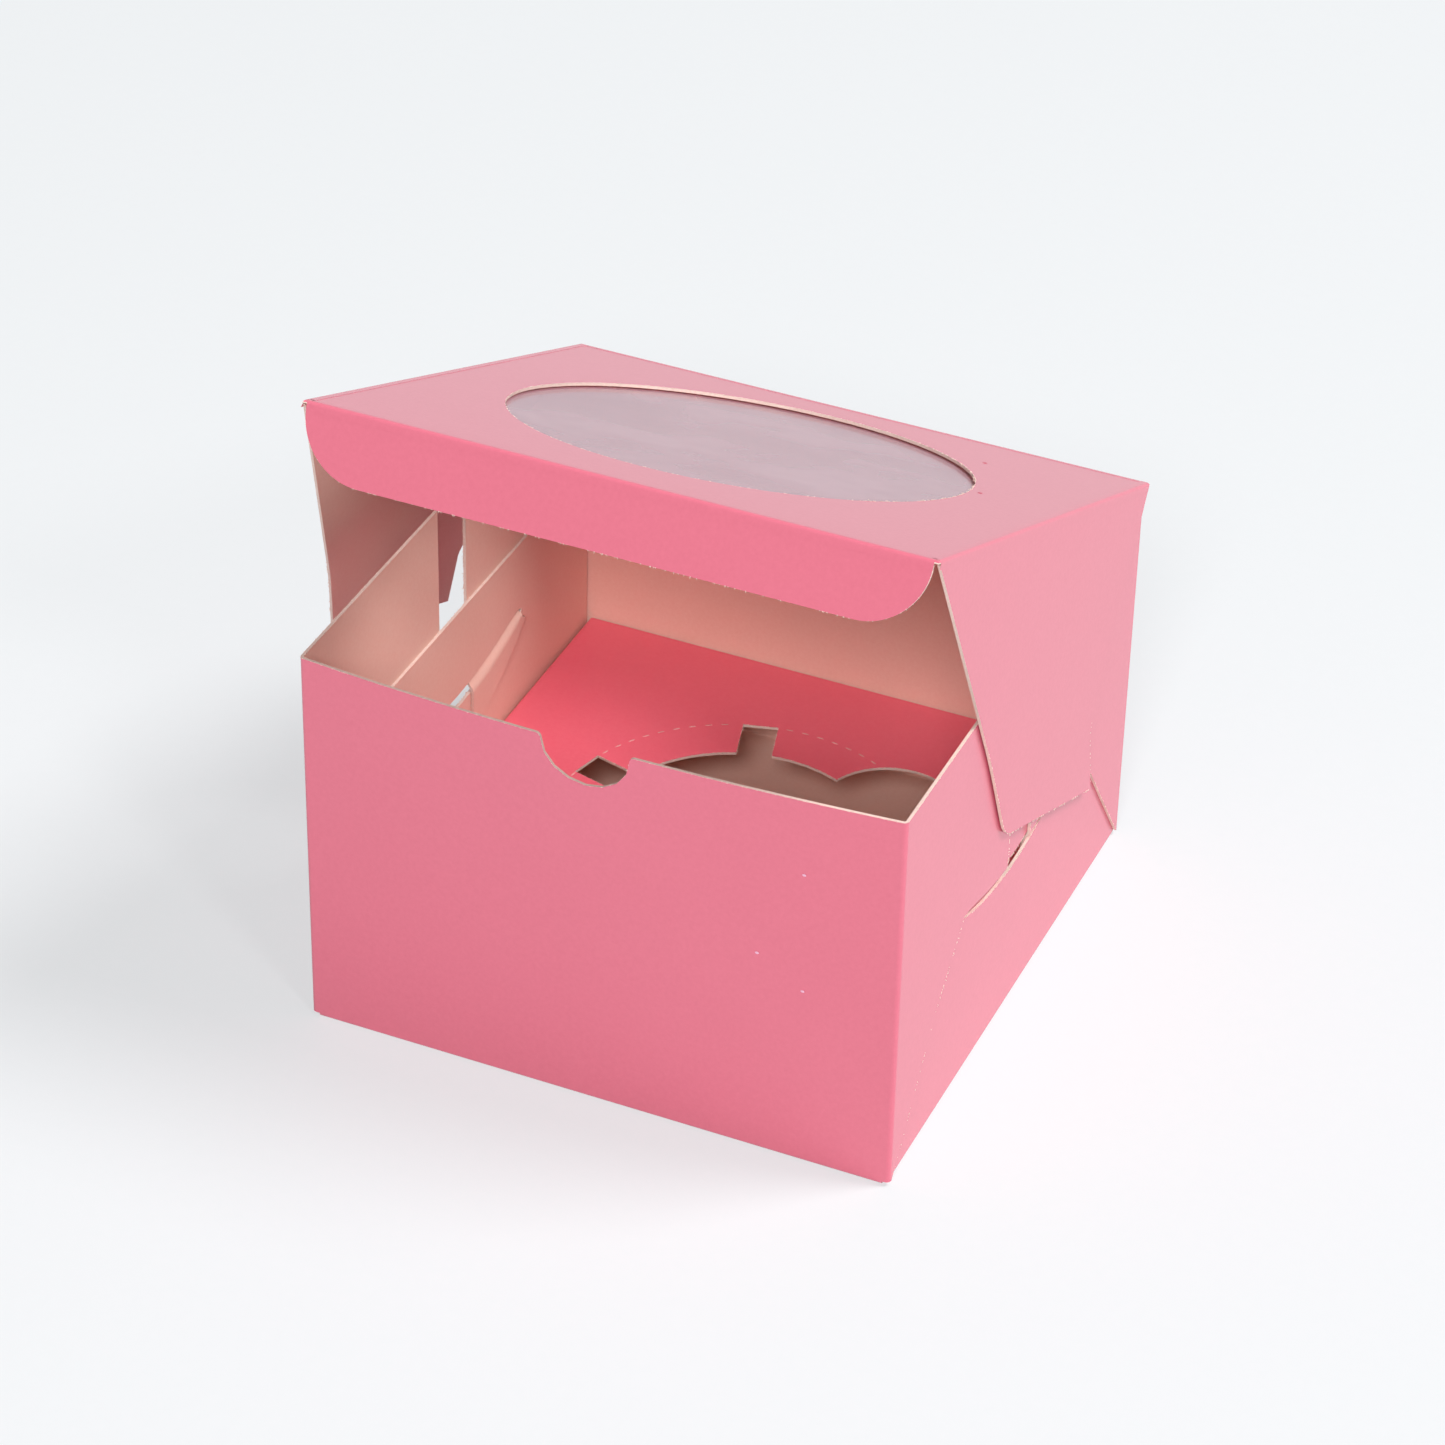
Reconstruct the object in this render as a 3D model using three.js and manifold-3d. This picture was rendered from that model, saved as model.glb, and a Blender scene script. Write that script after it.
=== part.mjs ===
// Folding cupcake box, standing with its windowed lid ajar.
// One die-cut sheet makes the tray, the lid and the lid's three flaps. The tray needs no glue:
// four ears from the front and back walls lie outside the low side panels and end in tongues
// that pass inwards through a curved slit in each panel. A loose folded insert holds the cake.
// Frame: millimetres, +Z up, +X right, the front faces -Y, origin at the centre of the base.
import * as THREE from 'three';
import { mergeVertices } from 'three/addons/utils/BufferGeometryUtils.js';
import Module from 'manifold-3d';

const wasm = await Module();
wasm.setup();

// Sheet
const board = 0.55;
const foldRadius = 0.9;
const clearance = 0.3;
const layerGap = 0.06;

// Tray
const boxWidth = 112;
const boxDepth = 114.2;
const wallHeight = 77.6;
const frontBow = 2.6;
const thumbNotchWidth = 16.4;
const thumbNotchDepth = 8.4;
const thumbNotchFillet = 0.9;
const thumbNotchX = -1;

// Side panels, their slits, and the ears that lock into them
const sidePanelHeight = 51.8;
const sidePanelCorner = 3;
const slitLength = 54.6;
const slitMiddleHeight = 31.4;
const slitSag = 5.4;
const slitOpening = 2.6;
const slitTaper = 10;
const earGap = 11;
const neckInset = 1;
const tongueRoot = 0.6;
const wallRoot = 2;
const earFootInset = 18.1;
const earFootHeight = 25.9;
const tongueDrop = 8.2;
const tongueShoulder = 8.3;
const tongueShoulderRise = 3.8;
const hookReach = 0.4;
const hookDrop = 1.2;

// Lid
const lidOpenAngle = 23.5;
const windowWidth = 81.8;
const windowLength = 90;
const windowFromHinge = 56.9;
const windowX = -1.3;
const filmThickness = 0.2;
const filmMargin = 7;
const frontFlapDepth = 12.6;
const frontFlapCorner = 11.6;
const sideFlapDepth = 58.2;
const sideFlapToe = 69.4;
const sideFlapBend = 52.8;
const sideFlapBendDrop = 42.9;
const sideFlapBendEase = 5;
const sideFlapKneeHeight = 46;
const sideFlapKneeInset = 6.8;
const sideFlapHeel = 2;
const sideFlapCorner = 3;
const leftFlapFlare = 19;

// Insert
const insertHeight = 17.7;
const insertSideGap = 0.5;
const cakeHole = 52.2;
const cakeHoleY = 2.9;
const tabCircle = 70.2;
const tabCount = 6;
const tabSlotWidth = 6.7;
const tabSlotAngle = 45.5;
const fingerHole = 26.2;
const fingerHoleReach = 30;
const fingerHoleAngle = 41;

// Curve fineness
const foldSteps = 4;
const bowSteps = 16;
const bowRows = 6;
const slitSteps = 24;
const passSteps = 12;
const passRows = 4;
const windowSteps = 64;
const circleSteps = 12;

const print = { color: 0xf0889c, roughness: 0.55, metalness: 0 };
const printPale = { color: 0xf6a9b8, roughness: 0.55, metalness: 0 };
const clear = { color: 0xcdb9c4, roughness: 0.15, metalness: 0, transparent: true, opacity: 0.45 };

const radians = THREE.MathUtils.degToRad;
const halfWidth = boxWidth / 2;
const halfDepth = boxDepth / 2;
const bendInside = foldRadius - board;

// A closed geometry becomes a solid once its corners lie on a fine grid and shared ones are merged.
const grid = 1 / 512;

function toSolid(geometry) {
  const bare = geometry.clone();
  bare.deleteAttribute('normal');
  bare.deleteAttribute('uv');
  const position = bare.attributes.position;
  for (let i = 0; i < position.array.length; i += 1) {
    position.array[i] = Math.round(position.array[i] / grid) * grid;
  }
  const merged = mergeVertices(bare, grid / 4);
  return new wasm.Manifold(new wasm.Mesh({
    numProp: 3,
    vertProperties: new Float32Array(merged.attributes.position.array),
    triVerts: new Uint32Array(merged.index.array),
  }));
}

function toGeometry(solid) {
  const mesh = solid.getMesh();
  const geometry = new THREE.BufferGeometry();
  geometry.setAttribute('position', new THREE.BufferAttribute(mesh.vertProperties, 3));
  geometry.setIndex(new THREE.BufferAttribute(mesh.triVerts, 1));
  geometry.computeVertexNormals();
  return geometry;
}

function joined(geometries) {
  return toGeometry(geometries.map(toSolid).reduce((whole, next) => whole.add(next)));
}

function cutBy(geometry, tools) {
  return toGeometry(tools.map(toSolid).reduce((left, tool) => left.subtract(tool), toSolid(geometry)));
}

function commonTo(geometries) {
  return toGeometry(geometries.map(toSolid).reduce((rest, next) => rest.intersect(next)));
}

function named(name, geometry, look) {
  const mesh = new THREE.Mesh(geometry, new THREE.MeshStandardMaterial(look));
  mesh.name = name;
  return mesh;
}

function extruded(shape, depth, curveSegments = circleSteps) {
  return new THREE.ExtrudeGeometry(shape, { depth, bevelEnabled: false, steps: 1, curveSegments });
}

// A shape drawn in Y and Z, standing as a plate whose faces look along X.
const standAcrossX = new THREE.Matrix4().makeBasis(
  new THREE.Vector3(0, 1, 0), new THREE.Vector3(0, 0, 1), new THREE.Vector3(1, 0, 0));
// A shape drawn in X and Z, standing as a plate whose faces look along Y.
const standAcrossY = new THREE.Matrix4().makeBasis(
  new THREE.Vector3(1, 0, 0), new THREE.Vector3(0, 0, 1), new THREE.Vector3(0, -1, 0));

function plateAcrossX(shape, xLow, xHigh, curveSegments) {
  return extruded(shape, xHigh - xLow, curveSegments).applyMatrix4(standAcrossX).translate(xLow, 0, 0);
}

function plateAcrossY(shape, yLow, yHigh, curveSegments) {
  return extruded(shape, yHigh - yLow, curveSegments).applyMatrix4(standAcrossY).translate(0, yHigh, 0);
}

function plateAcrossZ(shape, zLow, zHigh, curveSegments) {
  return extruded(shape, zHigh - zLow, curveSegments).translate(0, 0, zLow);
}

function rectangle(left, right, low, high) {
  const shape = new THREE.Shape();
  shape.moveTo(left, low);
  shape.lineTo(right, low);
  shape.lineTo(right, high);
  shape.lineTo(left, high);
  shape.closePath();
  return shape;
}

// A mirror image, with its triangles turned so that they still face outwards.
function mirrored(geometry, alongX, alongY) {
  const image = geometry.clone().scale(alongX, alongY, 1);
  if (alongX * alongY > 0) return image;
  const whole = image.index ? image : mergeVertices(image);
  const corners = whole.index.array;
  for (let i = 0; i < corners.length; i += 3) {
    [corners[i + 1], corners[i + 2]] = [corners[i + 2], corners[i + 1]];
  }
  return whole;
}

// The section of a trough folded from one sheet: a floor with a wall at each side, seen in X
// and Z or in Y and Z. It is the outer face, then the inner face one board further in.
function troughSection(half, top) {
  const bend = half - foldRadius;
  const inner = half - board;
  const shape = new THREE.Shape();
  shape.moveTo(-half, top);
  shape.lineTo(-half, foldRadius);
  shape.absarc(-bend, foldRadius, foldRadius, Math.PI, 1.5 * Math.PI, false);
  shape.lineTo(bend, 0);
  shape.absarc(bend, foldRadius, foldRadius, 1.5 * Math.PI, 2 * Math.PI, false);
  shape.lineTo(half, top);
  shape.lineTo(inner, top);
  shape.lineTo(inner, foldRadius);
  shape.absarc(bend, foldRadius, bendInside, 2 * Math.PI, 1.5 * Math.PI, true);
  shape.lineTo(-bend, board);
  shape.absarc(-bend, foldRadius, bendInside, 1.5 * Math.PI, Math.PI, true);
  shape.lineTo(-inner, top);
  shape.closePath();
  return shape;
}

// The tray's layers on the right: ear outside, side panel in the middle, tongue inside.
const layerStep = board + layerGap;
const panelOuterX = halfWidth - layerStep;
const tongueOuterX = panelOuterX - layerStep;

// The slit's lower lip is an arc. Its opening is even in the middle and closes at both ends.
const slitHalf = slitLength / 2;
const slitArc = (slitHalf * slitHalf + slitSag * slitSag) / (2 * slitSag);

function slitLow(y) {
  return slitMiddleHeight + slitArc - Math.sqrt(slitArc * slitArc - y * y);
}

function slitHigh(y) {
  const intoTaper = Math.max(0, (Math.abs(y) - (slitHalf - slitTaper)) / slitTaper);
  return slitLow(y) + slitOpening * Math.sqrt(Math.max(0, 1 - intoTaper * intoTaper));
}

function slitOutline() {
  const hole = new THREE.Path();
  hole.moveTo(-slitHalf, slitLow(slitHalf));
  for (let i = 1; i <= slitSteps; i += 1) {
    const y = slitHalf * (2 * i / slitSteps - 1);
    hole.lineTo(y, slitLow(y));
  }
  for (let i = 1; i < slitSteps; i += 1) {
    const y = slitHalf * Math.cos(Math.PI * i / slitSteps);
    hole.lineTo(y, slitHigh(y));
  }
  hole.closePath();
  return hole;
}

// The base with both side panels, folded as a trough and trimmed to the panels' outline.
const sidePanelEnd = halfDepth - foldRadius - layerGap;

function baseAndSidePanels() {
  const trough = plateAcrossY(troughSection(panelOuterX, sidePanelHeight),
    -sidePanelEnd, sidePanelEnd, foldSteps);
  const bend = sidePanelHeight - sidePanelCorner;
  const outline = rectangle(-sidePanelEnd, sidePanelEnd, -board, bend);
  const shape = new THREE.Shape(outline.getPoints().slice(0, 3));
  shape.absarc(sidePanelEnd - sidePanelCorner, bend, sidePanelCorner, 0, Math.PI / 2);
  shape.absarc(-sidePanelEnd + sidePanelCorner, bend, sidePanelCorner, Math.PI / 2, Math.PI);
  shape.closePath();
  shape.holes.push(slitOutline());
  return commonTo([trough, plateAcrossX(shape, -boxWidth, boxWidth, foldSteps)]);
}

// The same base with the folds that turn up into the front and back walls.
function baseAndWallFolds() {
  const half = panelOuterX - foldRadius - layerGap;
  return plateAcrossX(troughSection(halfDepth, foldRadius + wallRoot / 2), -half, half, foldSteps);
}

// A wall with the root of an ear folded back at each of its ends, for the back of the tray.
// With a bow it bulges outwards towards its top, and stays straight at its root and its ends.
const freeEdge = earGap / 2;
const neck = slitHalf - neckInset;

function wallWithEarRoots(bow) {
  const bendX = halfWidth - foldRadius;
  const bendY = halfDepth - foldRadius;
  const innerY = halfDepth - board;
  const shape = new THREE.Shape();
  shape.moveTo(halfWidth, neck);
  shape.lineTo(halfWidth, bendY);
  shape.absarc(bendX, bendY, foldRadius, 0, Math.PI / 2, false);
  for (let i = 1; i <= bowSteps; i += 1) {
    shape.lineTo(bendX * (1 - 2 * i / bowSteps), halfDepth);
  }
  shape.absarc(-bendX, bendY, foldRadius, Math.PI / 2, Math.PI, false);
  shape.lineTo(-halfWidth, neck);
  shape.lineTo(-halfWidth + board, neck);
  shape.lineTo(-halfWidth + board, bendY);
  shape.absarc(-bendX, bendY, bendInside, Math.PI, Math.PI / 2, true);
  for (let i = 1; i <= bowSteps; i += 1) {
    shape.lineTo(-bendX * (1 - 2 * i / bowSteps), innerY);
  }
  shape.absarc(bendX, bendY, bendInside, Math.PI / 2, 0, true);
  shape.lineTo(halfWidth - board, neck);
  shape.closePath();
  const rows = bowRows + 1;
  const height = wallHeight - foldRadius;
  const band = new THREE.ExtrudeGeometry(shape,
    { depth: height, bevelEnabled: false, steps: rows, curveSegments: foldSteps });
  const position = band.attributes.position;
  for (let i = 0; i < position.count; i += 1) {
    const row = Math.round(position.getZ(i) / height * rows);
    const up = Math.max(0, row - 1) / bowRows;
    const across = Math.min(1, Math.abs(position.getX(i)) / bendX);
    position.setZ(i, foldRadius + Math.min(row, 1) * wallRoot + up * (height - wallRoot));
    position.setY(i, position.getY(i) + bow * (1 - across * across) * up * Math.sqrt(up));
  }
  const leafFoot = slitHigh(neck) + layerGap;
  const earFoot = new THREE.Shape();
  earFoot.moveTo(freeEdge, -board);
  earFoot.lineTo(bendY, -board);
  earFoot.lineTo(bendY, foldRadius);
  earFoot.lineTo(bendY - earFootInset, earFootHeight);
  earFoot.lineTo(slitHalf, slitLow(slitHalf) + layerGap);
  earFoot.lineTo((neck + slitHalf) / 2, leafFoot);
  earFoot.lineTo(freeEdge, leafFoot);
  earFoot.closePath();
  return cutBy(band, [plateAcrossX(earFoot, -boxWidth, boxWidth)]);
}

// The free part of an ear, at the back on the right: flat outside the panel, then bending
// through the slit so that its lower edge lies flat inside the panel.
function earLeaf() {
  const lastRow = passRows + 2;
  const slab = new THREE.BoxGeometry(board, 1, 1, 1, passSteps, lastRow);
  const position = slab.attributes.position;
  for (let i = 0; i < position.count; i += 1) {
    const y = freeEdge + (neck - freeEdge) * (position.getY(i) + 0.5);
    const row = Math.round((position.getZ(i) + 0.5) * lastRow);
    const through = Math.min(1, Math.max(0, (row - 1) / passRows));
    const outward = THREE.MathUtils.smoothstep(through, 0, 1);
    const outerX = tongueOuterX + (halfWidth - tongueOuterX) * outward;
    const x = position.getX(i) > 0 ? outerX : outerX - board;
    let z = slitLow(y) + (slitHigh(y) - slitLow(y)) * through;
    if (row === 0) z = slitLow(y) - tongueRoot;
    if (row === lastRow) z = wallHeight;
    position.setXYZ(i, x, y, z);
  }
  return slab;
}

// The tongue inside the panel: its lower edge rises from the free end to a shoulder, and then
// steeply to a tip that reaches just past the end of the slit.
function tongue() {
  const tipY = slitHalf + hookReach;
  const tipZ = slitLow(neck) - hookDrop;
  const lowest = slitMiddleHeight - tongueDrop;
  const shape = new THREE.Shape();
  shape.moveTo(freeEdge, slitLow(freeEdge) - tongueRoot);
  shape.lineTo(freeEdge, lowest);
  shape.quadraticCurveTo(slitHalf - tongueShoulder, lowest + tongueShoulderRise, tipY, tipZ);
  shape.lineTo(neck, slitLow(neck) - tongueRoot);
  for (let i = 1; i < passSteps; i += 1) {
    const y = neck + (freeEdge - neck) * i / passSteps;
    shape.lineTo(y, slitLow(y) - tongueRoot);
  }
  shape.closePath();
  return plateAcrossX(shape, tongueOuterX - board, tongueOuterX);
}

function thumbNotchTool() {
  const half = thumbNotchWidth / 2;
  const shoulder = wallHeight - thumbNotchFillet;
  const above = wallHeight + foldRadius;
  const shape = new THREE.Shape();
  shape.moveTo(thumbNotchX + half + thumbNotchFillet, above);
  shape.lineTo(thumbNotchX - half - thumbNotchFillet, above);
  shape.absarc(thumbNotchX - half - thumbNotchFillet, shoulder, thumbNotchFillet, Math.PI / 2, 0, true);
  shape.absellipse(thumbNotchX, shoulder, half, thumbNotchDepth - thumbNotchFillet,
    Math.PI, 2 * Math.PI, false, 0);
  shape.absarc(thumbNotchX + half + thumbNotchFillet, shoulder, thumbNotchFillet,
    Math.PI, Math.PI / 2, true);
  shape.closePath();
  return plateAcrossY(shape, -boxDepth, -halfDepth + 2 * board, foldSteps);
}

function cartonTray() {
  const frontWall = cutBy(mirrored(wallWithEarRoots(frontBow), 1, -1), [thumbNotchTool()]);
  const pieces = [baseAndSidePanels(), baseAndWallFolds(), wallWithEarRoots(0), frontWall];
  for (const side of [1, -1]) {
    for (const end of [1, -1]) {
      pieces.push(mirrored(earLeaf(), side, end), mirrored(tongue(), side, end));
    }
  }
  return joined(pieces);
}

// The lid in its closed position, with the hinge line along X through its own origin. Each fold
// turns about the outer corner of the sheet, and the flap hangs just below the panel's edge.
const hingeHeight = wallHeight + clearance + board;
const lidHalfWidth = halfWidth + clearance + board;
const lidDepth = boxDepth + frontBow + clearance + board;
const flapTop = -board - clearance;

function softEdgedSection(low, high) {
  const shape = new THREE.Shape();
  shape.moveTo(low, -board);
  shape.lineTo(high, -board);
  shape.absarc(high - board, -board, board, 0, Math.PI / 2);
  shape.absarc(low + board, -board, board, Math.PI / 2, Math.PI);
  shape.closePath();
  return shape;
}

function lidPanel() {
  const outline = rectangle(-lidHalfWidth, lidHalfWidth, -lidDepth, 0);
  const opening = new THREE.Path();
  opening.absellipse(windowX, -windowFromHinge, windowWidth / 2, windowLength / 2, 0, 2 * Math.PI);
  outline.holes.push(opening);
  const sheet = plateAcrossZ(outline, -board, 0, windowSteps / 2);
  const acrossWidth = plateAcrossY(softEdgedSection(-lidHalfWidth, lidHalfWidth),
    -lidDepth, 0, foldSteps);
  const alongDepth = plateAcrossX(softEdgedSection(-lidDepth, 0),
    -lidHalfWidth, lidHalfWidth, foldSteps);
  return commonTo([sheet, acrossWidth, alongDepth]);
}

function windowFilm() {
  const halfFilm = windowWidth / 2 + filmMargin;
  const halfLength = windowLength / 2 + filmMargin;
  const top = -board - clearance;
  const shape = rectangle(windowX - halfFilm, windowX + halfFilm,
    -windowFromHinge - halfLength, -windowFromHinge + halfLength);
  return plateAcrossZ(shape, top - filmThickness, top);
}

function lidFrontFlap() {
  const half = lidHalfWidth - board - clearance;
  const shape = new THREE.Shape();
  shape.moveTo(-half, flapTop);
  shape.lineTo(-half, -frontFlapDepth + frontFlapCorner);
  shape.absarc(-half + frontFlapCorner, -frontFlapDepth + frontFlapCorner, frontFlapCorner,
    Math.PI, 1.5 * Math.PI);
  shape.absarc(half - frontFlapCorner, -frontFlapDepth + frontFlapCorner, frontFlapCorner,
    1.5 * Math.PI, 2 * Math.PI);
  shape.lineTo(half, flapTop);
  shape.closePath();
  return plateAcrossY(shape, 0, board);
}

// The right side flap, drawn in Y from the hinge and Z down from the lid's face: a slanting
// front edge that steepens a little near the toe, and a back edge with a knee above its heel.
function lidSideFlap() {
  const frontTop = -lidDepth + board + clearance;
  const bend = -lidDepth + sideFlapBend;
  const toe = -lidDepth + sideFlapToe;
  const before = sideFlapBendEase / (bend - frontTop);
  const after = sideFlapBendEase / (toe - bend);
  const fall = sideFlapDepth - sideFlapBendDrop;
  const shape = new THREE.Shape();
  shape.moveTo(frontTop, flapTop);
  shape.lineTo(bend - sideFlapBendEase, -sideFlapBendDrop + before * (sideFlapBendDrop + flapTop));
  shape.quadraticCurveTo(bend, -sideFlapBendDrop,
    bend + sideFlapBendEase, -sideFlapBendDrop - after * fall);
  shape.lineTo(toe - sideFlapCorner, -sideFlapDepth + fall * sideFlapCorner / (toe - bend));
  shape.quadraticCurveTo(toe, -sideFlapDepth, toe + sideFlapCorner, -sideFlapDepth);
  shape.lineTo(sideFlapHeel, -sideFlapDepth);
  shape.lineTo(-sideFlapKneeInset + sideFlapCorner / 2, -sideFlapKneeHeight - sideFlapCorner / 2);
  shape.quadraticCurveTo(-sideFlapKneeInset, -sideFlapKneeHeight,
    -sideFlapKneeInset + sideFlapCorner / 6, -sideFlapKneeHeight + sideFlapCorner);
  shape.lineTo(-clearance, flapTop);
  shape.closePath();
  return plateAcrossX(shape, -board, 0, foldSteps);
}

// The insert: a table with one leg folded down on each side and a tabbed hole for the cake.
const insertHalf = panelOuterX - board - insertSideGap;

function cupcakeInsert() {
  const depth = boxDepth - 2 * board - 2 * clearance;
  const legLength = insertHeight - board - clearance;
  const table = plateAcrossY(troughSection(insertHalf, legLength), -depth / 2, depth / 2, foldSteps);
  table.rotateY(Math.PI).translate(0, 0, insertHeight);
  return cutBy(table, insertCuts());
}

function roundTool(diameter, x, y) {
  const tool = new THREE.CylinderGeometry(diameter / 2, diameter / 2, 4 * board, 4 * circleSteps);
  return tool.rotateX(Math.PI / 2).translate(x, y, insertHeight);
}

// Slots in the ring leave a tab between each two, and a finger hole takes one slot's place.
function insertCuts() {
  const cuts = [roundTool(cakeHole, 0, cakeHoleY)];
  const slotStart = cakeHole / 2 - tabSlotWidth / 2;
  const slotEnd = tabCircle / 2;
  for (let i = 1; i < tabCount; i += 1) {
    const slot = new THREE.BoxGeometry(slotEnd - slotStart, tabSlotWidth, 4 * board);
    slot.translate((slotEnd + slotStart) / 2, 0, 0);
    slot.rotateZ(radians(tabSlotAngle + 360 * i / tabCount));
    cuts.push(slot.translate(0, cakeHoleY, insertHeight));
  }
  const aim = radians(fingerHoleAngle);
  cuts.push(roundTool(fingerHole, fingerHoleReach * Math.cos(aim),
    cakeHoleY + fingerHoleReach * Math.sin(aim)));
  return cuts;
}

const tray = named('carton_tray', cartonTray(), print);
const insert = named('cupcake_insert', cupcakeInsert(), print);

const lid = new THREE.Group();
lid.position.set(0, halfDepth, hingeHeight);
lid.rotation.x = -radians(lidOpenAngle);
lid.add(named('lid_panel', lidPanel(), printPale));
lid.add(named('window_film', windowFilm(), clear));

const frontFlap = named('lid_front_flap', lidFrontFlap(), print);
frontFlap.position.set(0, -lidDepth, 0);
lid.add(frontFlap);

const rightFlap = named('lid_side_flap_right', lidSideFlap(), print);
rightFlap.position.set(lidHalfWidth, 0, 0);
lid.add(rightFlap);

const leftFlap = named('lid_side_flap_left', mirrored(lidSideFlap(), -1, 1), print);
leftFlap.position.set(-lidHalfWidth, 0, 0);
leftFlap.rotation.y = radians(leftFlapFlare);
lid.add(leftFlap);

const group = new THREE.Group();
group.add(tray, insert, lid);

export default group;
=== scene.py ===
import math
import random

import bmesh
import bpy
from mathutils import Matrix, Vector


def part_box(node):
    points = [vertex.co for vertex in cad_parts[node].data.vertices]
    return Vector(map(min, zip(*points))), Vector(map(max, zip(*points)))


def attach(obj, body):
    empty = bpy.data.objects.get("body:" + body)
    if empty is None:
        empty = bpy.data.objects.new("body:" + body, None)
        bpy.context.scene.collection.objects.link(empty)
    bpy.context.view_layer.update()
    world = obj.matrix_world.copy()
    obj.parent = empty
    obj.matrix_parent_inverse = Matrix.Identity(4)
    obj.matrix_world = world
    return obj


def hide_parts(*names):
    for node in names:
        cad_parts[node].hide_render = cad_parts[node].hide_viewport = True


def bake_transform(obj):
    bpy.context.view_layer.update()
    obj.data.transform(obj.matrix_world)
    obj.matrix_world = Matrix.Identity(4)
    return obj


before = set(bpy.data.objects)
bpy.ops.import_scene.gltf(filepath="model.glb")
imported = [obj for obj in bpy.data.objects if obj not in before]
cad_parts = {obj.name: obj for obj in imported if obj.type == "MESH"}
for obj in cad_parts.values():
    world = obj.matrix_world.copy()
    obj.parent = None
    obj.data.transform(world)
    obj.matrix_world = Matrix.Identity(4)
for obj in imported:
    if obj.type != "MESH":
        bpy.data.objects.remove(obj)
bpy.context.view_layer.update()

# Viewpoint: a long lens at 35 degrees above the table, from the front and a little to the
# right, held very slightly off level.
camera_data = bpy.data.cameras.new("camera")
camera_data.lens = 121.35
camera_data.sensor_width = 36
camera_data.clip_start = 0.05
camera = bpy.data.objects.new("camera", camera_data)
camera.location = (0.27947, -0.65780, 0.54740)
camera.rotation_euler = [math.radians(angle) for angle in (54.870, -1.073, 23.891)]
bpy.context.collection.objects.link(camera)
bpy.context.scene.camera = camera

# Table: a seamless sheet of studio paper under and behind the box. It is uncoated and matte, so it
# shows no reflection. A share of it glows, only for rays that see it directly, which lets it read
# as white and still keep the box's shadow.
paper_grain_size = 0.0025
paper_glow_share = 0.58
floor_reach = 4.0
background_white = "#f3f6f8"


def linear(code):
    """An sRGB hex colour as the linear colour that a shader's socket takes."""
    channels = [int(code[i:i + 2], 16) / 255 for i in (1, 3, 5)]
    return [c / 12.92 if c <= 0.04045 else ((c + 0.055) / 1.055) ** 2.4 for c in channels] + [1.0]


def node(owner, kind, settings=None, links=None):
    """One node with its settings, each a socket's value or an attribute, and its links."""
    made = owner.node_tree.nodes.new(kind)
    for name, value in (settings or {}).items():
        if isinstance(name, int) or name in made.inputs:
            made.inputs[name].default_value = value
        else:
            setattr(made, name, value)
    for name, source in (links or {}).items():
        owner.node_tree.links.new(source, made.inputs[name])
    return made


def blank(name):
    material = bpy.data.materials.new(name)
    material.use_nodes = True
    material.node_tree.nodes.clear()
    return material


def seen_directly(owner):
    """1 for a ray from the camera, off gloss or through film, and 0 for stray light."""
    ray = node(owner, "ShaderNodeLightPath")
    total = ray.outputs["Is Camera Ray"]
    for kind in ("Is Glossy Ray", "Is Transmission Ray"):
        total = node(owner, "ShaderNodeMath", {"operation": "ADD", "use_clamp": True},
                     {0: total, 1: ray.outputs[kind]}).outputs[0]
    return total


paper = blank("studio_paper_matte_white")
paper_place = node(paper, "ShaderNodeTexCoord")
paper_grain = node(paper, "ShaderNodeTexNoise", {"Scale": 1.0 / paper_grain_size, "Detail": 2.0},
                   {"Vector": paper_place.outputs["Object"]})
paper_tone = node(paper, "ShaderNodeValToRGB", links={"Fac": paper_grain.outputs["Fac"]})
paper_tone.color_ramp.elements[0].color = linear("#e3e5e7")
paper_tone.color_ramp.elements[1].color = linear("#e6e8ea")
paper_matte = node(paper, "ShaderNodeBsdfDiffuse", links={"Color": paper_tone.outputs["Color"]})
paper_glow = node(paper, "ShaderNodeEmission", {"Color": linear(background_white), "Strength": 1.0})
paper_share = node(paper, "ShaderNodeMath", {"operation": "MULTIPLY", 1: paper_glow_share},
                   {0: seen_directly(paper)})
paper_mix = node(paper, "ShaderNodeMixShader",
                 links={0: paper_share.outputs[0], 1: paper_matte.outputs[0], 2: paper_glow.outputs[0]})
node(paper, "ShaderNodeOutputMaterial", links={"Surface": paper_mix.outputs[0]})

floor_mesh = bmesh.new()
bmesh.ops.create_grid(floor_mesh, x_segments=1, y_segments=1, size=floor_reach)
floor_data = bpy.data.meshes.new("studio_floor")
floor_mesh.to_mesh(floor_data)
floor_mesh.free()
floor_data.materials.append(paper)
floor = bpy.data.objects.new("studio_floor", floor_data)
bpy.context.collection.objects.link(floor)

# Light: a white room that gloss reflects, a key lamp high at the right and a little behind, and
# two fills, from the front and from the front right, that reach into the open box.
room_bounce = 0.12

room = bpy.data.worlds.new("white_room")
room.use_nodes = True
room.node_tree.nodes.clear()
room_dim = node(room, "ShaderNodeBackground", {"Color": linear("#ffffff"), "Strength": room_bounce})
room_bright = node(room, "ShaderNodeBackground", {"Color": linear(background_white), "Strength": 1.0})
room_mix = node(room, "ShaderNodeMixShader",
                links={0: seen_directly(room), 1: room_dim.outputs[0], 2: room_bright.outputs[0]})
node(room, "ShaderNodeOutputWorld", links={"Surface": room_mix.outputs[0]})
bpy.context.scene.world = room


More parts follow.
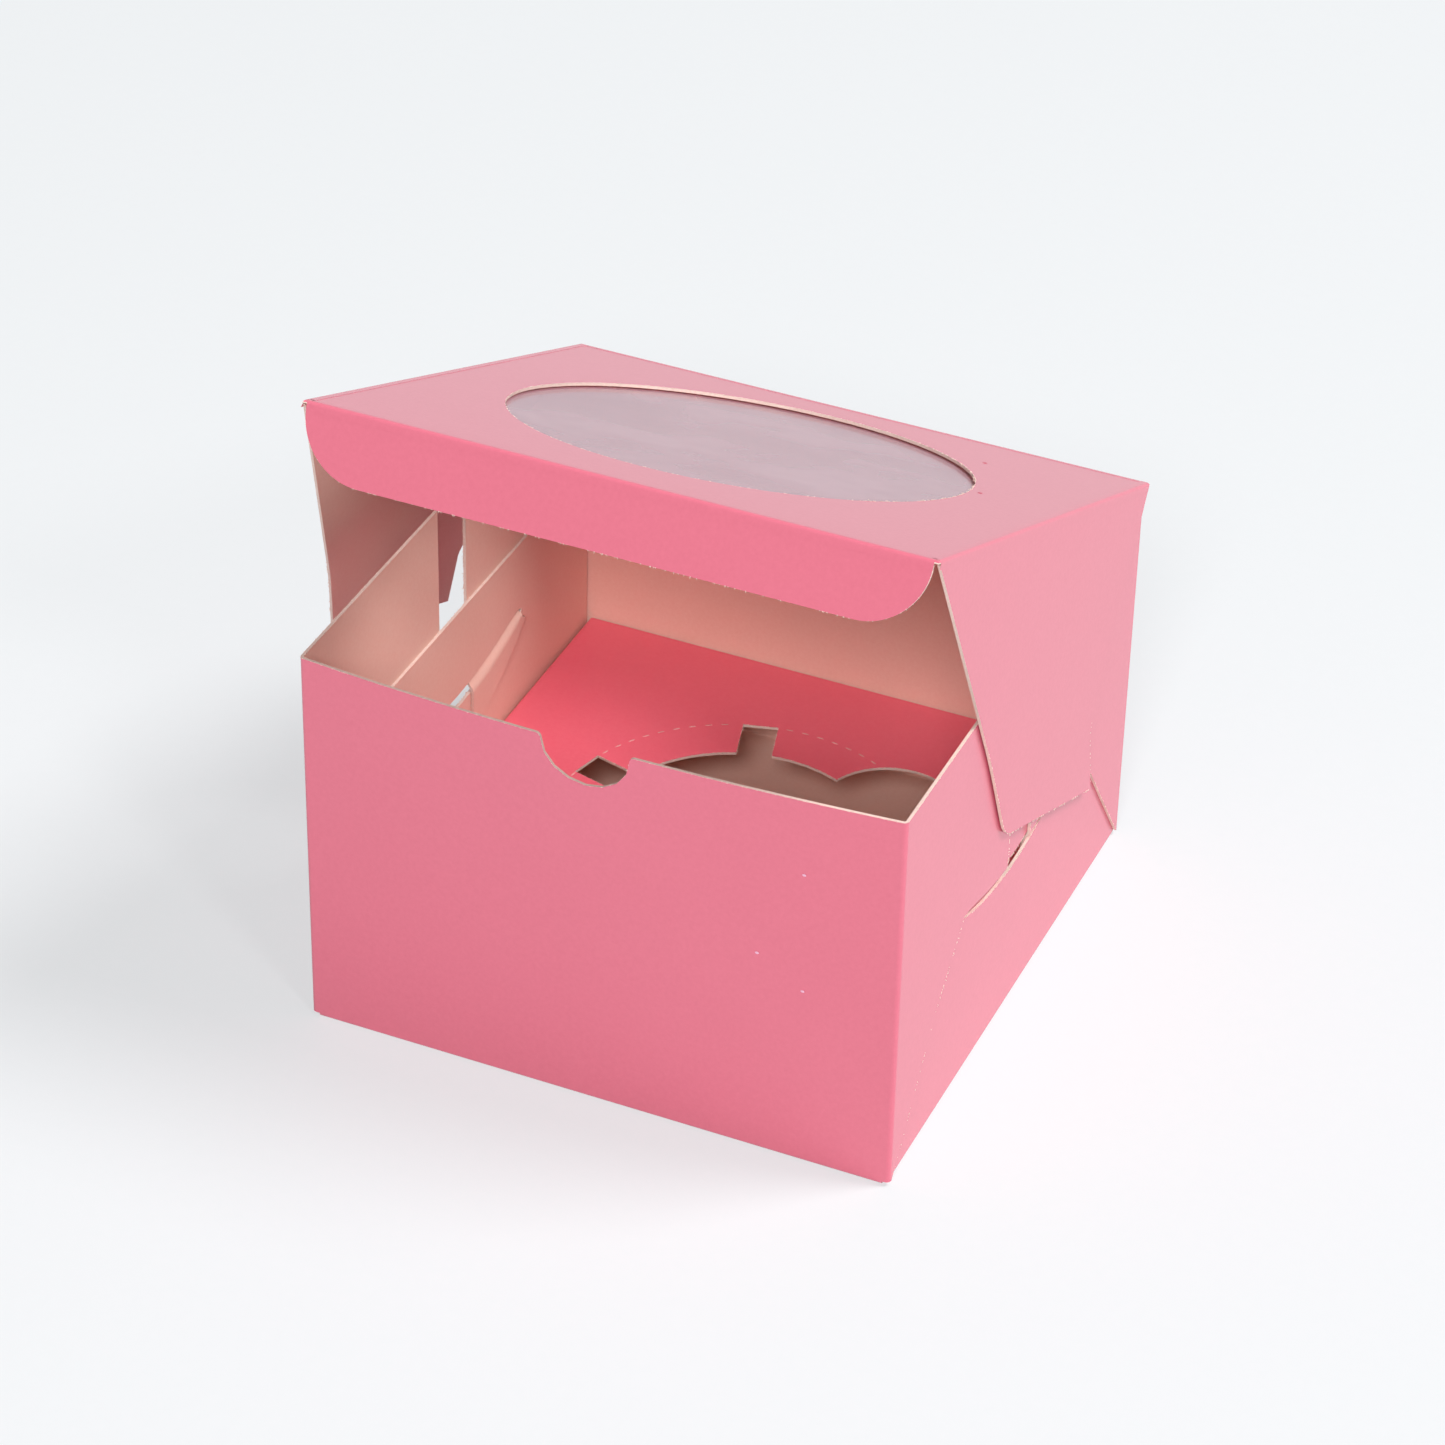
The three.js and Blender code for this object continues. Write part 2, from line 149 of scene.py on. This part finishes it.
def softbox(name, heading, height, distance, size, power):
    """A round soft lamp aimed at the box. heading and height are its bearing from +X towards +Y and
    its angle above the table, in degrees."""
    turn = math.radians(heading)
    rise = math.radians(height)
    aim = Vector((0.0, 0.0, 0.05))
    toward = Vector((math.cos(rise) * math.cos(turn), math.cos(rise) * math.sin(turn), math.sin(rise)))
    lamp_data = bpy.data.lights.new(name, "AREA")
    lamp_data.shape = "DISK"
    lamp_data.size = size
    lamp_data.energy = power
    lamp = bpy.data.objects.new(name, lamp_data)
    lamp.location = aim + toward * distance
    lamp.rotation_euler = toward.to_track_quat("Z", "Y").to_euler()
    bpy.context.collection.objects.link(lamp)


softbox("key_right_behind", heading=24, height=56, distance=4.0, size=1.5, power=126.0)
softbox("fill_front", heading=-74, height=36, distance=3.5, size=1.0, power=70.0)
softbox("fill_right", heading=-36, height=38, distance=3.5, size=0.5, power=20.0)

bpy.context.scene.view_settings.view_transform = "Standard"

# Tray: base, walls, side panels and locked ears, all one sheet of white-lined chipboard of about
# 420 g/m2, printed pink on its outer face and sealed with satin varnish. It is die-cut, folded and
# held by the tongues of its ears, which pass through the slits of the side panels.
clouds_per_metre = 45.0
cloud_share = 0.3
marks_per_metre = 45.0
mark_reach = 0.012
mark_strength = 0.35
clump_share = 0.35
dark_below = 0.35
light_above = 0.95
fibre_height = 0.00005
board_ior = 1.6


def board_material(name, dark, light, roughness, fibre_size, relief):
    """Board with clouds about 22 mm wide in its colour, a relief of paper fibres and a rare pinhead
    mark, where one of the points scattered about 22 mm apart in space meets the sheet. mark_reach is
    the mark's radius as a share of that distance, which makes it half a millimetre wide. Real fibres
    are a few hundredths of a millimetre thick, too fine to show, so fibre_size is that of their
    clumps, and a cell of the noise is about three clumps wide."""
    material = blank(name)
    place = node(material, "ShaderNodeTexCoord").outputs["Object"]
    cloud = node(material, "ShaderNodeTexNoise", {"Scale": clouds_per_metre, "Detail": 2.0},
                 {"Vector": place})
    fibre = node(material, "ShaderNodeTexNoise",
                 {"Scale": clump_share / fibre_size, "Detail": 4.0, "Roughness": 0.7},
                 {"Vector": place})
    tone = node(material, "ShaderNodeMath", {"operation": "MULTIPLY_ADD", 1: cloud_share},
                {0: cloud.outputs["Fac"], 2: fibre.outputs["Fac"]})
    colour = node(material, "ShaderNodeValToRGB", links={"Fac": tone.outputs[0]})
    colour.color_ramp.elements[0].position = dark_below
    colour.color_ramp.elements[0].color = linear(dark)
    colour.color_ramp.elements[1].position = light_above
    colour.color_ramp.elements[1].color = linear(light)
    mark = node(material, "ShaderNodeTexVoronoi", {"Scale": marks_per_metre}, {"Vector": place})
    marked = node(material, "ShaderNodeMapRange",
                  {"From Min": 0.0, "From Max": mark_reach, "To Min": mark_strength, "To Max": 0.0},
                  {"Value": mark.outputs["Distance"]})
    worn = node(material, "ShaderNodeMixRGB", {"Color2": linear("#f3dfe6")},
                {"Fac": marked.outputs[0], "Color1": colour.outputs["Color"]})
    bump = node(material, "ShaderNodeBump", {"Strength": relief, "Distance": fibre_height},
                {"Height": fibre.outputs["Fac"]})
    shader = node(material, "ShaderNodeBsdfPrincipled", {"Roughness": roughness, "IOR": board_ior},
                  {"Base Color": worn.outputs["Color"], "Normal": bump.outputs["Normal"]})
    node(material, "ShaderNodeOutputMaterial", links={"Surface": shader.outputs[0]})
    return material


# Print under varnish has a soft sheen and hardly any texture. The bare back is dull, warm and
# visibly fibrous, and the sheared edge is rougher and greyer still.
printed_board = board_material("carton_board_printed_satin_varnish", dark="#dc6b81", light="#e27187",
                               roughness=0.24, fibre_size=0.00030, relief=0.3)
bare_board = board_material("carton_board_unprinted_back", dark="#f0c0b0", light="#f5ccbd",
                            roughness=0.75, fibre_size=0.00025, relief=0.6)
cut_board = board_material("carton_board_die_cut_edge", dark="#dcbcb0", light="#eed8cd",
                           roughness=0.85, fibre_size=0.00020, relief=0.9)

merge_distance = 0.000002
level_play = 0.00001
facing_share = 0.35
smooth_below = math.radians(28)
square_above = math.radians(60)


def relaid_top(sheet, height):
    """Die-cut edges that end at one height get one clean set of faces between their outlines."""
    top = [face for face in sheet.faces
           if min(corner.co.z for corner in face.verts) > height - level_play]
    bmesh.ops.delete(sheet, geom=top, context="FACES")
    rim = [edge for edge in sheet.edges if len(edge.link_faces) == 1]
    bmesh.ops.triangle_fill(sheet, edges=rim, use_beauty=True, normal=(0.0, 0.0, 1.0))


def dressed(name, source, body, outward, print_side=printed_board, top=None):
    """A merged copy of a folded sheet, its faces sorted into print, bare back and cut edge. outward
    gives the way that the print faces at a place. Returns the edges between print and cut edge,
    each with its two ends and the way that the cut faces."""
    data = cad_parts[source].data.copy()
    data.name = name
    data.materials.clear()
    for material in (print_side, bare_board, cut_board):
        data.materials.append(material)
    sheet = bmesh.new()
    sheet.from_mesh(data)
    bmesh.ops.remove_doubles(sheet, verts=sheet.verts, dist=merge_distance)
    if top:
        relaid_top(sheet, top)
    sheet.normal_update()
    for face in sheet.faces:
        side = face.normal.dot(outward(face.calc_center_median()))
        face.material_index = 0 if side > facing_share else 1 if side < -facing_share else 2
        face.smooth = True
    rims = []
    for edge in sheet.edges:
        angle = edge.calc_face_angle(0.0) if len(edge.link_faces) == 2 else 0.0
        edge.smooth = angle < smooth_below
        faces = sorted(edge.link_faces, key=lambda face: face.material_index)
        if angle > square_above and [face.material_index for face in faces] == [0, 2]:
            rims.append((edge.verts[0].co.copy(), edge.verts[1].co.copy(), faces[1].normal.copy()))
    sheet.to_mesh(data)
    sheet.free()
    piece = bpy.data.objects.new(name, data)
    bpy.context.collection.objects.link(piece)
    even = piece.modifiers.new("even_shading", "WEIGHTED_NORMAL")
    even.keep_sharp = True
    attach(piece, body)
    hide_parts(source)
    return rims


def finished(name, mesh, material, body):
    """The object of a small added piece. It rides on its body, when one is given."""
    data = bpy.data.meshes.new(name)
    mesh.to_mesh(data)
    mesh.free()
    data.materials.append(material)
    piece = bpy.data.objects.new(name, data)
    bpy.context.collection.objects.link(piece)
    if body:
        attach(piece, body)
    return piece


fibre_root = 0.00008
fibre_tip = 0.00003
fibre_stray = 0.4
fibre_lean = 0.9
fibre_shortest = 0.25
fibre_foot = 0.3


def torn_fibres(name, rims, body, per_metre, longest, seed):
    """Short paper fibres that the blunt cutting rule leaves along the edges, pale and uneven."""
    chance = random.Random(seed)
    fuzz = bmesh.new()
    for start, end, outward in rims:
        along = end - start
        for _ in range(int(along.length * per_metre + chance.random())):
            foot = start + along * chance.random()
            stray = Vector([chance.uniform(-1.0, 1.0) for _ in range(3)]) * fibre_stray
            slant = along.normalized() * chance.uniform(-fibre_lean, fibre_lean)
            lean = (outward + slant + stray).normalized()
            length = longest * chance.uniform(fibre_shortest, 1.0)
            middle = Matrix.Translation(foot + lean * length * fibre_foot)
            turn = lean.to_track_quat("Z", "Y").to_matrix().to_4x4()
            bmesh.ops.create_cone(fuzz, cap_ends=True, segments=4, radius1=fibre_root,
                                  radius2=fibre_tip, depth=length, matrix=middle @ turn)
    finished(name, fuzz, cut_board, body)


wall_top = 0.0776
side_walls_from_x = 0.0535
end_walls_from_y = 0.0558
base_below_z = 0.0012
slits_below_z = 0.047
slits_within_y = 0.029


def tray_outward(place):
    across = math.copysign(1.0, place.x) if abs(place.x) > side_walls_from_x else 0.0
    along = math.copysign(1.0, place.y) if abs(place.y) > end_walls_from_y else 0.0
    down = -1.0 if place.z < base_below_z else 0.0
    return Vector((across, along, down))


tray_rims = dressed("tray_folded_sheet", "carton_tray", "tray", tray_outward,
                    top=wall_top)
slit_rims = [rim for rim in tray_rims if rim[0].z < slits_below_z and abs(rim[0].y) < slits_within_y]
torn_fibres("tray_edge_fibres", tray_rims, "tray",
            per_metre=900, longest=0.00035, seed=3)
torn_fibres("tray_slit_fibres", slit_rims, "tray",
            per_metre=1300, longest=0.0007, seed=4)

# Insert: a second die-cut sheet of the same board, folded down into two legs. It lies loose in the
# tray. Its print is under a duller varnish, which blurs what it reflects. Its coral is deeper than the
# tray's print, and that is painted light: it stands in for the pink light bounced inside the box.
legs_from_x = 0.0530
table_above_z = 0.0168
hole_within_y = 0.054

# Painted light: this coral is deeper than the tray's print to stand in for pink light bounced inside
# the box.
insert_print_with_painted_bounce = board_material("insert_board_print_with_painted_bounce", dark="#fa6c82", light="#fe788b",
                              roughness=0.36, fibre_size=0.00030, relief=0.3)


def insert_outward(place):
    across = math.copysign(1.0, place.x) if abs(place.x) > legs_from_x else 0.0
    up = 1.0 if place.z > table_above_z else 0.0
    return Vector((across, 0.0, up))


insert_rims = dressed("insert_folded_sheet", "cupcake_insert", "tray", insert_outward,
                      print_side=insert_print_with_painted_bounce)
hole_rims = [rim for rim in insert_rims if abs(rim[0].y) < hole_within_y]
torn_fibres("insert_hole_fibres", hole_rims, "tray",
            per_metre=1500, longest=0.0005, seed=5)

# Perforation: a ring of short cuts round the insert's hole, along which its tabs fold down. At
# each cut the print is torn a little and the board under it shows as a pale, dull dash. There are
# none across the slots and the finger hole.
hole_y = 0.0029
ring_middle = Vector((0.0, hole_y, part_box("cupcake_insert")[1][2]))
ring_radius = 0.0351
ring_tabs = 6
slot_angle = 45.5
slot_half_angle = 6.2
finger_angle = 41.0
finger_half_angle = 22.0
dash_pitch = 0.0031
dash_half_length = 0.00075
dash_half_width = 0.00018
dash_rise = 0.00006


def apart(angle, other):
    """The angle between two bearings, in degrees."""
    return abs((angle - other + 180) % 360 - 180)


torn_board = board_material("insert_board_torn_print", dark="#f2a3a6", light="#f6bdb8",
                            roughness=0.8, fibre_size=0.00020, relief=0.9)
slot_angles = [slot_angle + 360.0 / ring_tabs * k for k in range(1, ring_tabs)]
dash_form = Matrix.Diagonal((dash_half_width, dash_half_length, dash_rise, 1.0))
dash_count = int(2 * math.pi * ring_radius / dash_pitch)
dashes = bmesh.new()
for i in range(dash_count):
    angle = 360.0 * i / dash_count
    from_slot = min(apart(angle, slot) for slot in slot_angles)
    if from_slot < slot_half_angle or apart(angle, finger_angle) < finger_half_angle:
        continue
    turn = Matrix.Rotation(math.radians(angle), 4, "Z")
    place = Matrix.Translation(ring_middle) @ turn @ Matrix.Translation((ring_radius, 0.0, 0.0))
    bmesh.ops.create_uvsphere(dashes, u_segments=8, v_segments=4, radius=1.0,
                              matrix=place @ dash_form)
finished("insert_perforation_dashes", dashes, torn_board, "tray")

# Lid: the panel of the carton's own sheet that turns on the fold along the back wall, here standing
# open. Its round window is die-cut, and at its back right the rule was blunt and left a ragged edge.
hinge_y = 0.0571
hinge_z = 0.07845
lid_tilt = math.radians(23.5)
lid_half_width = 0.05685
lid_depth = 0.11765
ragged_from_x = 0.015
ragged_from_y = -0.02
lid_up = Vector((0.0, math.sin(lid_tilt), math.cos(lid_tilt)))
lid_turn = Matrix.Rotation(-lid_tilt, 4, "X")
lid_frame = Matrix.Translation((0.0, hinge_y, hinge_z)) @ lid_turn


def lid_outward(place):
    return lid_up


lid_rims = dressed("lid_panel_sheet", "lid_panel", "lid", lid_outward)
ragged_rims = [rim for rim in lid_rims if rim[0].x > ragged_from_x and rim[0].y > ragged_from_y]
torn_fibres("lid_window_fibres", lid_rims, "lid",
            per_metre=900, longest=0.00035, seed=6)
torn_fibres("lid_window_ragged_fibres", ragged_rims, "lid",
            per_metre=900, longest=0.0008, seed=7)

# Lid flaps: the narrow front flap and the two long side flaps, part of the same sheet and folded
# down from the lid's edges. The left flap stands flared outwards from square.
left_flare = math.radians(19)
fold_ends_below = -0.0012


def front_flap_outward(place):
    return Vector((0.0, -math.cos(lid_tilt), math.sin(lid_tilt)))


def right_flap_outward(place):
    return Vector((1.0, 0.0, 0.0))


def left_flap_outward(place):
    return Vector((-math.cos(left_flare), 0.0, 0.0)) + lid_up * math.sin(left_flare)


def lid_height(place):
    """How far a place is above the lid's outer face, measured square to it."""
    return (lid_frame.inverted() @ place).z


for flap, source, body, outward, seed in (
        ("front_flap", "lid_front_flap", "front_flap", front_flap_outward, 8),
        ("right_flap", "lid_side_flap_right", "right_flap", right_flap_outward, 9),
        ("left_flap", "lid_side_flap_left", "left_flap", left_flap_outward, 10)):
    flap_rims = dressed(flap + "_sheet", source, body, outward)
    free_rims = [rim for rim in flap_rims
                 if max(lid_height(rim[0]), lid_height(rim[1])) < fold_ends_below]
    torn_fibres(flap + "_edge_fibres", free_rims, body,
                per_metre=800, longest=0.0004, seed=seed)

# Creases: the lid's four moving folds, pressed into the board before it was folded. The print runs
# unbroken over each, rounded like the board under it, so a thin skin of print spans the joint.
board_thickness = 0.00055
crease_lift = 0.00004
crease_skin = 0.00003
crease_steps = 6
crease_overlap = 3 * board_thickness
crease_settled = 1.6 * board_thickness
crease_sharp_from = math.radians(40)
front_fold_half = 0.0560
back_fold_half = 0.0552
side_fold_front = -lid_depth + 0.0009
side_fold_back = -0.0004


def crease(name, corner, low, high, flare):
    """A skin over one fold, from the lid's face round the corner and down the other face. corner
    takes how far a point is outwards from the sheet's outer corner, how far above it and where
    along the fold, and gives its place. The skin runs from low to high along the fold, and flare is
    the angle by which the fold stands open past square."""
    radius = board_thickness + crease_lift
    profile = [(-crease_overlap, crease_lift)]
    for step in range(crease_steps + 1):
        angle = (math.pi / 2) + (flare - math.pi / 2) * step / crease_steps
        profile.append((-board_thickness + radius * math.cos(angle),
                        -board_thickness + radius * math.sin(angle)))
    for reach in (crease_settled, crease_overlap):
        profile.append((reach * math.sin(flare) + crease_lift * math.cos(flare),
                        -reach * math.cos(flare) + crease_lift * math.sin(flare)))
    skin = bmesh.new()
    row = [skin.verts.new(corner(out, up, low)) for out, up in profile]
    edges = [skin.edges.new(pair) for pair in zip(row, row[1:])]
    moved = bmesh.ops.extrude_edge_only(skin, edges=edges)["geom"]
    ends = [item for item in moved if isinstance(item, bmesh.types.BMVert)]
    bmesh.ops.translate(skin, verts=ends, vec=corner(0.0, 0.0, high) - corner(0.0, 0.0, low))
    bmesh.ops.recalc_face_normals(skin, faces=skin.faces)
    middle = corner(-board_thickness, -board_thickness, (low + high) / 2)
    inward = [face for face in skin.faces if face.normal.dot(face.calc_center_median() - middle) < 0]
    if len(inward) * 2 > len(skin.faces):
        bmesh.ops.reverse_faces(skin, faces=skin.faces)
    bmesh.ops.solidify(skin, geom=skin.faces[:], thickness=crease_skin)
    for face in skin.faces:
        face.smooth = len(face.verts) == 4
    for edge in skin.edges:
        edge.smooth = edge.calc_face_angle(0.0) < crease_sharp_from
    piece = finished(name, skin, printed_board, None)
    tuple(corner(-board_thickness, 0.0, (low + high) / 2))
    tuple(corner(0.0, -crease_settled, (low + high) / 2))
    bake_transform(piece)


crease("front_fold_skin", lambda out, up, x: lid_frame @ Vector((x, -lid_depth - out, up)),
       -front_fold_half, front_fold_half, 0.0)
crease("right_fold_skin", lambda out, up, y: lid_frame @ Vector((lid_half_width + out, y, up)),
       side_fold_front, side_fold_back, 0.0)
crease("left_fold_skin", lambda out, up, y: lid_frame @ Vector((-lid_half_width - out, y, up)),
       side_fold_front, side_fold_back, left_flare)
crease("back_fold_skin", lambda out, up, x: lid_frame @ Vector((x, out, up)),
       -back_fold_half, back_fold_half, lid_tilt)

# Flecks: chips in the front wall's varnish, which show the pale pink of thin ink, and specks of
# thick, darker ink on the lid. They are slightly raised and 0.5 to 1.1 mm across.
chip_places = ((0.0386, -0.05808, 0.0623), (0.0388, -0.05755, 0.0375), (0.0304, -0.05786, 0.0432))
chip_half = (0.00036, 0.00009, 0.00026)
speck_places = ((0.0319, -0.0210, 0.0), (0.0411, -0.0509, 0.0))
speck_half = (0.00042, 0.00055, 0.00006)


def flecks(name, places, turn, half, colour, body):
    dots = bmesh.new()
    for place in places:
        form = Matrix.Translation(place) @ turn @ Matrix.Diagonal((*half, 1.0))
        bmesh.ops.create_icosphere(dots, subdivisions=2, radius=1.0, matrix=form)
    ink = board_material(name + "_ink", dark=colour, light=colour,
                         roughness=0.6, fibre_size=0.00020, relief=0.5)
    finished(name, dots, ink, body)


flecks("front_wall_flecks", chip_places, Matrix.Identity(4), chip_half, "#eeb6cf",
       "tray")
flecks("lid_ink_flecks", [lid_frame @ Vector(place) for place in speck_places], lid_turn, speck_half,
       "#c2405a", "lid")

# Window film: a thin sheet of clear plastic glued under the lid. It is smooth and glossy, and has
# ripples about 18 mm wide and dust: specks about 6 mm apart, with dust_reach as their radius in
# shares of that distance. Its greyish pink colour, which hides more of what lies behind it at a low
# angle, is painted light: it stands in for the room that the film reflects and the pink box behind it.
ripples_per_metre = 55.0
ripple_height = 0.0004
dust_per_metre = 160.0
dust_reach = 0.06
dust_strength = 0.6
painted_tone_from = 0.35
painted_tone_to = 0.65
cover_face_on = 0.12
cover_edge_on = 0.9

film_plastic = blank("window_film_clear_plastic")
film_place = node(film_plastic, "ShaderNodeTexCoord")
film_ripple = node(film_plastic, "ShaderNodeTexNoise", {"Scale": ripples_per_metre, "Detail": 2.0},
                   {"Vector": film_place.outputs["Object"]})
film_bump = node(film_plastic, "ShaderNodeBump", {"Strength": 0.2, "Distance": ripple_height},
                 {"Height": film_ripple.outputs["Fac"]})
film_sheen = node(film_plastic, "ShaderNodeLayerWeight", {"Blend": 0.35})
film_cover = node(film_plastic, "ShaderNodeMapRange",
                  {"To Min": cover_face_on, "To Max": cover_edge_on},
                  {"Value": film_sheen.outputs["Facing"]})
# Painted light: a greyish pink tone standing in for the film's reflection of the room and the pink box
# behind it.
film_painted_tone = node(film_plastic, "ShaderNodeValToRGB", links={"Fac": film_ripple.outputs["Fac"]})
film_painted_tone.color_ramp.elements[0].position = painted_tone_from
film_painted_tone.color_ramp.elements[0].color = linear("#c49dab")
film_painted_tone.color_ramp.elements[1].position = painted_tone_to
film_painted_tone.color_ramp.elements[1].color = linear("#d0abb8")
film_dust = node(film_plastic, "ShaderNodeTexVoronoi", {"Scale": dust_per_metre},
                 {"Vector": film_place.outputs["Object"]})
film_dusty = node(film_plastic, "ShaderNodeMapRange",
                  {"From Min": 0.0, "From Max": dust_reach, "To Min": dust_strength, "To Max": 0.0},
                  {"Value": film_dust.outputs["Distance"]})
film_colour = node(film_plastic, "ShaderNodeMixRGB", {"Color2": linear("#8f6f78")},
                   {"Fac": film_dusty.outputs[0], "Color1": film_painted_tone.outputs["Color"]})
film_shader = node(film_plastic, "ShaderNodeBsdfPrincipled", {"Roughness": 0.12, "IOR": 1.5},
                   {"Base Color": film_colour.outputs["Color"], "Alpha": film_cover.outputs[0],
                    "Normal": film_bump.outputs["Normal"]})
node(film_plastic, "ShaderNodeOutputMaterial", links={"Surface": film_shader.outputs[0]})
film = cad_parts["window_film"]
film.data.materials.clear()
film.data.materials.append(film_plastic)
